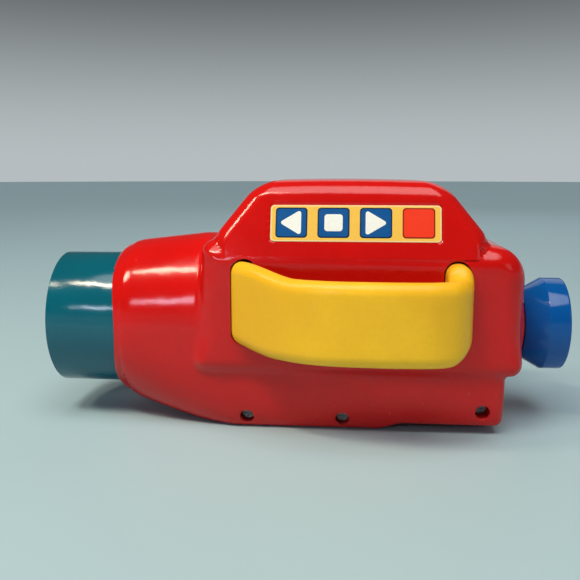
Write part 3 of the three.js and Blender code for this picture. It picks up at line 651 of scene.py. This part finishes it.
def label_place(across, up, out):
    """A point on the label: across and up from its middle, and out from the hump's side."""
    sine, cosine = math.sin(HUMP_LEAN), math.cos(HUMP_LEAN)
    return (
        LABEL_MIDDLE_X + across,
        LABEL_FACE_Y + sine * up - cosine * out,
        LABEL_MIDDLE_Z + cosine * up + sine * out,
    )


def slab(outline, inner_outline, bottom, top, bevel):
    """Vertices and faces of a flat plate with a bevelled upper edge, on the label's plane."""
    count = len(outline)
    rings = ((outline, bottom), (outline, top - bevel), (inner_outline, top))
    vertices = [label_place(a, b, out) for ring, out in rings for a, b in ring]
    faces = [tuple(range(count))[::-1], tuple(range(2 * count, 3 * count))]
    for level in range(2):
        for i in range(count):
            a, b = level * count + i, level * count + (i + 1) % count
            faces.append((a, b, b + count, a + count))
    return vertices, faces


def rounded_rectangle(width, height, corner, across=0, up=0):
    """Outline of a rectangle whose middle is across and up from the label's middle."""
    w, h = width / 2, height / 2
    corners = [(-w, -h, corner), (w, -h, corner), (w, h, corner), (-w, h, corner)]
    return rounded_outline(corners) + (across, up)


def triangle(length, height, corner, across, up, way):
    """Triangle that points along +across if way is 1."""
    back, tip = -0.42 * length, 0.58 * length
    corners = [(back, -height / 2, corner), (tip, 0, corner), (back, height / 2, corner)]
    if way < 0:
        corners = [(-a, b, r) for a, b, r in corners][::-1]
    return rounded_outline(corners) + (across, up)


def shrunk(outline, by):
    """An outline drawn in by a distance on every side."""
    middle = (outline.max(0) + outline.min(0)) / 2
    half = (outline.max(0) - outline.min(0)) / 2
    return middle + (outline - middle) * (1 - by / half)


def printed(name, outlines, layer, material):
    """One piece made of flat shapes in one layer of the label: printed shapes, and for the dark
    lines round the squares painted shade.
    """
    bottom, top, bevel = layer
    vertices, faces = [], []
    for outline in outlines:
        some, more = slab(outline, shrunk(outline, bevel), bottom, top, bevel)
        faces += [tuple(index + len(vertices) for index in face) for face in more]
        vertices += some
    return cleaned(new_piece(name, vertices, faces, material, "casing", 30))


def label_pieces(materials):
    """The label in layers: plate, printed field, a dark line of painted shade round each square,
    square, white symbol.
    """
    plate = rounded_rectangle(LABEL_WIDTH, LABEL_HEIGHT, LABEL_CORNER)
    piece = printed("label_plate", [plate], PLATE_LAYER, materials["label_cream"])
    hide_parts("button_label")
    width, height = LABEL_WIDTH - 2 * LABEL_BORDER, LABEL_HEIGHT - 2 * LABEL_BORDER
    field = rounded_rectangle(width, height, LABEL_CORNER - LABEL_BORDER)
    printed("label_field", [field], FIELD_LAYER, materials["label_yellow"])
    places = [(TILE_START + TILE_PITCH * i, TILE_UP) for i in range(TILE_COUNT)]
    shade_frames = [rounded_rectangle(TILE_WIDTH, TILE_HEIGHT, TILE_CORNER, a, b) for a, b in places]
    width, height = TILE_WIDTH - 2 * TILE_SHADE_LINE, TILE_HEIGHT - 2 * TILE_SHADE_LINE
    tiles = [rounded_rectangle(width, height, TILE_CORNER - 0.3, a, b) for a, b in places]
    # Dark lines round the squares: painted shade at the squares' edges, darker copies of their
    # colours.
    printed("label_painted_shade_lines", shade_frames[:3], SHADE_LINE_LAYER, materials["shade_line_navy"])
    printed("label_painted_shade_red", shade_frames[3:], SHADE_LINE_LAYER, materials["shade_line_red"])
    printed("label_squares_blue", tiles[:3], INK_LAYER, materials["label_blue"])
    printed("label_square_orange", tiles[3:], INK_LAYER, materials["label_orange"])
    arrow = (SYMBOL_LENGTH, SYMBOL_HEIGHT, SYMBOL_CORNER)
    symbols = [
        triangle(*arrow, places[0][0] + 0.2, places[0][1], -1),
        rounded_rectangle(9.2, 8.8, 1.5, *places[1]),
        triangle(*arrow, places[2][0] - 0.5, places[2][1], 1),
    ]
    printed("label_symbols_white", symbols, SYMBOL_LAYER, materials["label_white"])


# ---------------------------------------------------------------- turned pieces


def hood_tube(material):
    """The hood: a wide tube with a narrower neck that turns inside the casing's nose."""
    step_x = HOOD_SHOULDER_X - 3
    corners = [
        (-HALF_LENGTH, HOOD_MOUTH_RADIUS, 0.35), (-HALF_LENGTH, HOOD_RADIUS, 0.6),
        (HOOD_SHOULDER_X, HOOD_RADIUS, 0.5), (HOOD_SHOULDER_X, NECK_RADIUS, 0.3),
        (NECK_END_X, NECK_RADIUS, 0.5), (NECK_END_X, NECK_INNER_RADIUS, 0.5),
        (step_x, NECK_INNER_RADIUS, 0.3), (step_x, HOOD_INNER_RADIUS, 0.2),
    ]
    piece = turned("hood_tube", corners, material, "hood", 200)
    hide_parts("lens_hood")


def eyepiece_cup(material):
    """The eyepiece: a spigot in the casing's boss, a cone, a rim and the seat of its lens."""
    seat_x, seat_radius = EYE_LENS_X - GAP, EYE_LENS_RADIUS + GAP
    corners = [
        (SPIGOT_END_X, SPIGOT_BORE, 0.4), (SPIGOT_END_X, SPIGOT_RADIUS, 0.5),
        (EYEPIECE_CONE_X, SPIGOT_RADIUS, 0.3), (EYEPIECE_CONE_X, EYEPIECE_CONE_RADIUS, 0.8),
        (EYEPIECE_RIM_X, EYEPIECE_RIM_RADIUS, 1.2), (HALF_LENGTH, EYEPIECE_RIM_RADIUS, 1.3),
        (HALF_LENGTH, EYEPIECE_RIM_RADIUS - 2.6, 1),
        (EYEPIECE_RIM_X + 2, EYEPIECE_RIM_RADIUS - 3.4, 1.5),
        (EYE_LENS_X + 5.6, seat_radius, 0.8), (seat_x, seat_radius, 0.2),
        (seat_x, SPIGOT_BORE, 0.3),
    ]
    piece = turned("eyepiece_body", corners, material, "eyepiece", 180)
    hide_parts("eyepiece_cup")


def eye_lens(material):
    """Clear lens, thicker in the middle."""
    bulge = EYE_LENS_THICKNESS / 2
    middle = EYE_LENS_X + bulge
    half_rim = EYE_LENS_RIM / 2
    rim = [(middle - half_rim, EYE_LENS_RADIUS, 0.2), (middle + half_rim, EYE_LENS_RADIUS, 0.2)]
    radii = np.linspace(EYE_LENS_RADIUS - 2, 0, 8)
    front = [(middle + 1 + (bulge - 1) * (1 - (r / EYE_LENS_RADIUS) ** 2), r, 0) for r in radii]
    back = [(2 * middle - x, r, 0) for x, r, _ in front][::-1]
    piece = turned("eyepiece_glass", rim + front + back, material, "eyepiece", 96)
    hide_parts("eyepiece_lens")


# ---------------------------------------------------------------- materials


class Nodes:
    """A node material under construction. Coordinates are the piece's own, in metres."""

    def __init__(self, name):
        self.material = bpy.data.materials.new(name)
        self.material.use_nodes = True
        self.tree = self.material.node_tree
        self.shader = self.tree.nodes["Principled BSDF"]
        self.place = self.tree.nodes.new("ShaderNodeTexCoord").outputs["Object"]

    def add(self, kind, **inputs):
        """A new node, with the named inputs linked or set."""
        node = self.tree.nodes.new(kind)
        for name, value in inputs.items():
            self.set(node, name.replace("_", " "), value)
        return node

    def set(self, node, socket_name, value):
        """Links a socket's output to an input, or sets the input to a plain value."""
        socket = node.inputs[socket_name]
        if isinstance(value, bpy.types.NodeSocket):
            self.tree.links.new(value, socket)
        else:
            socket.default_value = value

    def stretched(self, scale, turn=(0, 0, 0)):
        node = self.add("ShaderNodeMapping", Vector=self.place, Scale=scale, Rotation=turn)
        return node.outputs["Vector"]

    def noise(self, scale, detail=3.0, roughness=0.55, place=None):
        node = self.add(
            "ShaderNodeTexNoise", Vector=self.place if place is None else place,
            Scale=scale, Detail=detail, Roughness=roughness,
        )
        return node.outputs["Fac"]

    def ramp(self, value, low, high, to_low=0.0, to_high=1.0):
        """Smooth change from to_low to to_high while the value goes from low to high."""
        node = self.tree.nodes.new("ShaderNodeMapRange")
        node.interpolation_type = "SMOOTHSTEP"
        for index, number in enumerate((value, low, high, to_low, to_high)):
            self.set(node, index, number)
        return node.outputs[0]

    def maths(self, operation, a, b):
        node = self.tree.nodes.new("ShaderNodeMath")
        node.operation = operation
        for index, value in enumerate((a, b)):
            self.set(node, index, value)
        return node.outputs[0]

    def blend(self, share, first, second):
        """A mix of two colours; 0, 6 and 7 are the mix node's factor and colour inputs."""
        node = self.tree.nodes.new("ShaderNodeMix")
        node.data_type = "RGBA"
        for index, value in ((0, share), (6, first), (7, second)):
            self.set(node, index, value)
        return node.outputs[2]

    def bump(self, height, distance, strength=1.0, under=None):
        node = self.add("ShaderNodeBump", Height=height, Distance=distance, Strength=strength)
        if under is not None:
            self.set(node, "Normal", under)
        return node.outputs["Normal"]


def shade(colour, factor):
    """A colour made lighter or darker, with alpha."""
    return tuple(min(1.0, c * factor) for c in colour[:3]) + (1,)


def scratches(nodes, scale, turn, threshold):
    """Sparse thin lines: a very stretched noise that only shows its crests."""
    lines = nodes.noise(1, 2, 0.5, nodes.stretched((scale, scale * 0.035, scale * 0.6), turn))
    patches = nodes.noise(22, 2)
    shown = nodes.ramp(lines, threshold, threshold + 0.02)
    return nodes.maths("MULTIPLY", shown, nodes.ramp(patches, 0.52, 0.66))


def moulded_plastic(name, colour, roughness, peel, wear, gloss=0.3, specks=0.0):
    """Injection-moulded plastic: uneven colour, slightly wavy skin, fine scuffs and scratches.

    peel scales the wavy skin, wear the scuffs, gloss the mirror-like share, specks the dark dots.
    """
    nodes = Nodes(name)
    broad = nodes.noise(16, 3)
    mottle = nodes.noise(420, 2)
    tone = nodes.blend(nodes.ramp(broad, 0.3, 0.7), shade(colour, 0.9), shade(colour, 1.08))
    tone = nodes.blend(nodes.ramp(mottle, 0.35, 0.75, 0, 0.12), tone, shade(colour, 0.72))
    marks = nodes.maths(
        "MAXIMUM",
        scratches(nodes, 420, (0.3, 0.2, 0.5), 0.72),
        scratches(nodes, 560, (1.1, 0.5, 1.9), 0.73),
    )
    scuffed = nodes.ramp(nodes.noise(90, 6, 0.7), 0.56, 0.72)
    worn = nodes.maths("MULTIPLY", scuffed, nodes.ramp(nodes.noise(13, 2), 0.5, 0.68))
    light = tuple(0.6 * c + 0.4 * 0.75 for c in colour[:3]) + (1,)
    tone = nodes.blend(nodes.maths("MULTIPLY", marks, 0.45 * wear), tone, light)
    tone = nodes.blend(nodes.maths("MULTIPLY", worn, 0.07 * wear), tone, light)
    if specks:
        cells = nodes.add("ShaderNodeTexVoronoi", Vector=nodes.place, Scale=70.0)
        dots = nodes.ramp(cells.outputs["Distance"], 0.03, 0.07, 1, 0)
        dirt = nodes.maths("MULTIPLY", dots, nodes.ramp(nodes.noise(31, 2), 0.55, 0.6))
        tone = nodes.blend(nodes.maths("MULTIPLY", dirt, specks), tone, shade(colour, 0.18))
    nodes.set(nodes.shader, "Base Color", tone)
    rough = nodes.ramp(nodes.noise(38, 4), 0.3, 0.75, roughness * 0.85, roughness * 1.2)
    rough = nodes.maths("ADD", rough, nodes.maths("MULTIPLY", worn, 0.16 * wear))
    rough = nodes.maths("ADD", rough, nodes.maths("MULTIPLY", marks, 0.25 * wear))
    nodes.set(nodes.shader, "Roughness", rough)
    skin = nodes.bump(nodes.noise(55, 2), 0.0009 * peel, 0.25)
    skin = nodes.bump(nodes.noise(1100, 3), 0.00004 * peel, 0.6, skin)
    skin = nodes.bump(nodes.maths("SUBTRACT", 1.0, marks), 0.00006 * wear, 0.7, skin)
    nodes.set(nodes.shader, "Normal", skin)
    nodes.shader.inputs["Specular IOR Level"].default_value = gloss
    return nodes.material


def label_print_and_shade(name, colour, roughness=0.32):
    """Printed vinyl, also used for the dark lines of painted shade round the squares: fine dot
    grain, slight streaks of thinner ink and a faintly wavy skin.
    """
    nodes = Nodes(name)
    grain = nodes.noise(1500, 2)
    streak = nodes.noise(60, 3, 0.6, nodes.stretched((1, 4, 4)))
    dots = nodes.ramp(grain, 0.35, 0.7, 0, 0.25)
    tone = nodes.blend(dots, shade(colour, 1.04), shade(colour, 0.84))
    tone = nodes.blend(nodes.ramp(streak, 0.5, 0.8, 0, 0.2), tone, shade(colour, 1.15))
    nodes.set(nodes.shader, "Base Color", tone)
    rough = nodes.ramp(nodes.noise(140, 4), 0.3, 0.7, roughness * 0.85, roughness * 1.25)
    nodes.set(nodes.shader, "Roughness", rough)
    nodes.set(nodes.shader, "Normal", nodes.bump(nodes.noise(1100, 2), 0.00004, 0.5))
    nodes.shader.inputs["Specular IOR Level"].default_value = 0.2
    return nodes.material


def clear_plastic():
    """Polished clear polystyrene with faint haze and mould flow."""
    nodes = Nodes("clear_polystyrene")
    tone = nodes.blend(nodes.noise(60, 4), (0.9, 0.95, 0.96, 1), (0.97, 0.99, 1, 1))
    nodes.set(nodes.shader, "Base Color", tone)
    nodes.set(nodes.shader, "Roughness", nodes.ramp(nodes.noise(90, 5), 0.4, 0.8, 0.03, 0.12))
    nodes.set(nodes.shader, "Normal", nodes.bump(nodes.noise(45, 2), 0.0005, 0.15))
    nodes.shader.inputs["Transmission Weight"].default_value = 0.92
    nodes.shader.inputs["IOR"].default_value = 1.53
    return nodes.material


def plated_steel():
    """Zinc-plated steel: fine turning lines, blotchy plating and dull spots."""
    nodes = Nodes("zinc_plated_steel")
    blotch = nodes.noise(700, 4)
    tone = nodes.blend(nodes.ramp(blotch, 0.35, 0.7), (0.11, 0.11, 0.12, 1), (0.26, 0.25, 0.24, 1))
    nodes.set(nodes.shader, "Base Color", tone)
    nodes.set(nodes.shader, "Roughness", nodes.ramp(nodes.noise(1200, 4), 0.3, 0.7, 0.24, 0.46))
    lines = nodes.noise(1, 2, 0.5, nodes.stretched((3000, 300, 3000)))
    nodes.set(nodes.shader, "Normal", nodes.bump(lines, 0.00003, 0.5))
    nodes.shader.inputs["Metallic"].default_value = 1.0
    return nodes.material


def dark_matt_plastic():
    """Matt black inner parts with a spark-eroded grain and some dust."""
    nodes = Nodes("dark_matt_plastic")
    dust = nodes.ramp(nodes.noise(240, 6, 0.7), 0.58, 0.75, 0, 0.25)
    tone = nodes.blend(dust, (0.018, 0.019, 0.022, 1), (0.12, 0.11, 0.1, 1))
    nodes.set(nodes.shader, "Base Color", tone)
    nodes.set(nodes.shader, "Roughness", nodes.ramp(nodes.noise(300, 3), 0.3, 0.7, 0.48, 0.7))
    nodes.set(nodes.shader, "Normal", nodes.bump(nodes.noise(1800, 3), 0.00008, 0.7))
    return nodes.material


def casing_red():
    colour = (0.6, 0.005, 0.0035)
    return moulded_plastic("red_moulded_plastic", colour, 0.13, peel=1.3, wear=0.35, gloss=0.4)


def hood_teal():
    colour = (0.001, 0.1, 0.145)
    return moulded_plastic("teal_moulded_plastic", colour, 0.11, peel=1.3, wear=0.3, gloss=0.5)


def eyepiece_blue():
    colour = (0.001, 0.085, 0.33)
    return moulded_plastic("blue_moulded_plastic", colour, 0.09, peel=0.8, wear=0.3, gloss=0.4)


def strap_yellow():
    colour = (1.0, 0.52, 0.016)
    return moulded_plastic("yellow_soft_plastic", colour, 0.34, peel=0.8, wear=0.5, specks=0.7)


def natural_nylon():
    return moulded_plastic("natural_nylon", (0.72, 0.7, 0.62), 0.45, peel=0.6, wear=0.3)


def make_materials():
    """Every material, by the slot of the record or the printed layer that it is for."""
    return {
        "casing_red": casing_red(),
        "hood_teal": hood_teal(),
        "eyepiece_blue": eyepiece_blue(),
        "strap_yellow": strap_yellow(),
        "nylon_white": natural_nylon(),
        "label_yellow": label_print_and_shade("label_yellow_print", (0.88, 0.53, 0.085)),
        "label_cream": label_print_and_shade("label_cream_vinyl", (0.88, 0.66, 0.32)),
        "label_blue": label_print_and_shade("label_blue_print", (0.003, 0.085, 0.29)),
        "label_white": label_print_and_shade("label_white_print", (0.87, 0.88, 0.82)),
        "label_orange": label_print_and_shade("label_orange_print", (0.86, 0.045, 0.015)),
        # The two dark lines are painted shade round the label's squares.
        "shade_line_navy": label_print_and_shade("label_navy_painted_shade", (0.003, 0.02, 0.06)),
        "shade_line_red": label_print_and_shade("label_dark_red_painted_shade", (0.25, 0.012, 0.006)),
        "clear_plastic": clear_plastic(),
        "inner_dark": dark_matt_plastic(),
        "steel": plated_steel(),
    }


def finish_cad_nodes(materials):
    """Gives every CAD node that stays visible its detailed material."""
    for part in frame["record"]["subparts"]:
        node = frame["nodes"][part["node"]]
        for material_slot in node.material_slots:
            material_slot.material = materials[part["material_slot"]]


# ---------------------------------------------------------------- studio


def studio_floor():
    """A pale round floor with a slight unevenness, well beyond every view."""
    mesh = bpy.data.meshes.new("floor")
    shape = bmesh.new()
    bmesh.ops.create_circle(shape, cap_ends=True, segments=96, radius=FLOOR_RADIUS)
    shape.to_mesh(mesh)
    shape.free()
    floor = bpy.data.objects.new("floor", mesh)
    bpy.context.scene.collection.objects.link(floor)
    nodes = Nodes("pale_floor")
    tone = nodes.blend(nodes.noise(3, 3), (0.36, 0.51, 0.56, 1), (0.39, 0.54, 0.59, 1))
    nodes.set(nodes.shader, "Base Color", tone)
    nodes.shader.inputs["Roughness"].default_value = 0.55
    mesh.materials.append(nodes.material)


def area_light(name, direction, distance, width, height, power, colour):
    """A soft light that shines on the camera's middle from a direction."""
    light = bpy.data.lights.new(name, "AREA")
    light.shape = "RECTANGLE"
    light.size, light.size_y = width, height
    light.energy, light.color = power, colour
    lamp = bpy.data.objects.new(name, light)
    bpy.context.scene.collection.objects.link(lamp)
    target = in_frame((0, 0, 60))
    way = Vector(direction).normalized()
    lamp.location = target + way * distance
    lamp.rotation_euler = way.to_track_quat("Z", "Y").to_euler()


def studio_lights():
    """Lamps and a window that leave streaks on the plastic, and soft light from all round."""
    area_light("overhead", (0.05, -0.35, 0.9), 1.6, 1.1, 0.7, 2, (1, 0.98, 0.95))
    area_light("warm_strip", (-0.43, -0.60, 1.17), 1.3, 0.55, 0.09, 6.5, (1, 0.88, 0.66))
    area_light("left_lamp", (-0.63, -0.31, 0.71), 1.3, 0.22, 0.22, 4, (1, 0.9, 0.7))
    area_light("window", (-0.33, -0.93, 0.40), 1.5, 0.4, 0.08, 2.2, (0.74, 0.82, 1))
    area_light("fill_right", (0.9, -0.7, 0.5), 1.8, 0.6, 0.5, 0.8, (0.95, 0.97, 1))
    area_light("back_soft", (0.2, 1, 0.7), 2.0, 1.4, 1.0, 3, (1, 0.98, 0.96))
    sky = bpy.data.lights.new("soft_daylight", "SUN")
    sky.energy, sky.angle, sky.color = 1.65, math.radians(45), (1, 0.99, 0.97)
    lamp = bpy.data.objects.new("soft_daylight", sky)
    bpy.context.scene.collection.objects.link(lamp)
    lamp.rotation_euler = Vector((0.05, -0.3, 0.95)).to_track_quat("Z", "Y").to_euler()


def studio_world():
    """Pale surroundings that are brightest at the horizon."""
    world = bpy.data.worlds.new("studio")
    bpy.context.scene.world = world
    world.use_nodes = True
    tree = world.node_tree
    background = tree.nodes["Background"]
    background.inputs["Color"].default_value = (0.8, 0.88, 0.91, 1)
    place = tree.nodes.new("ShaderNodeTexCoord")
    parts = tree.nodes.new("ShaderNodeSeparateXYZ")
    tree.links.new(place.outputs["Generated"], parts.inputs[0])
    fade = tree.nodes.new("ShaderNodeMapRange")
    fade.interpolation_type = "SMOOTHSTEP"
    for index, number in enumerate((0.0, 0.3, *WORLD_STRENGTH), start=1):
        fade.inputs[index].default_value = number
    tree.links.new(parts.outputs["Z"], fade.inputs[0])
    tree.links.new(fade.outputs[0], background.inputs["Strength"])


def studio_camera():
    """The photograph's view."""
    data = bpy.data.cameras.new("camera")
    data.lens = LENS
    data.clip_start = 0.01
    camera = bpy.data.objects.new("camera", data)
    bpy.context.scene.collection.objects.link(camera)
    camera.location = in_frame(EYE)
    camera.rotation_euler = (in_frame(EYE) - in_frame(TARGET)).to_track_quat("Z", "Y").to_euler()
    bpy.context.scene.camera = camera


def main():
    """Builds the studio and every piece."""
    bpy.context.scene.view_settings.view_transform = "Standard"
    studio_camera()
    studio_floor()
    studio_lights()
    studio_world()
    materials = make_materials()
    casing_piece("near_casing", "near_shell", -1, materials["casing_red"])
    casing_piece("far_casing", "far_shell", 1, materials["casing_red"])
    strap(materials["strap_yellow"])
    hood_tube(materials["hood_teal"])
    eyepiece_cup(materials["eyepiece_blue"])
    eye_lens(materials["clear_plastic"])
    label_pieces(materials)
    finish_cad_nodes(materials)


main()
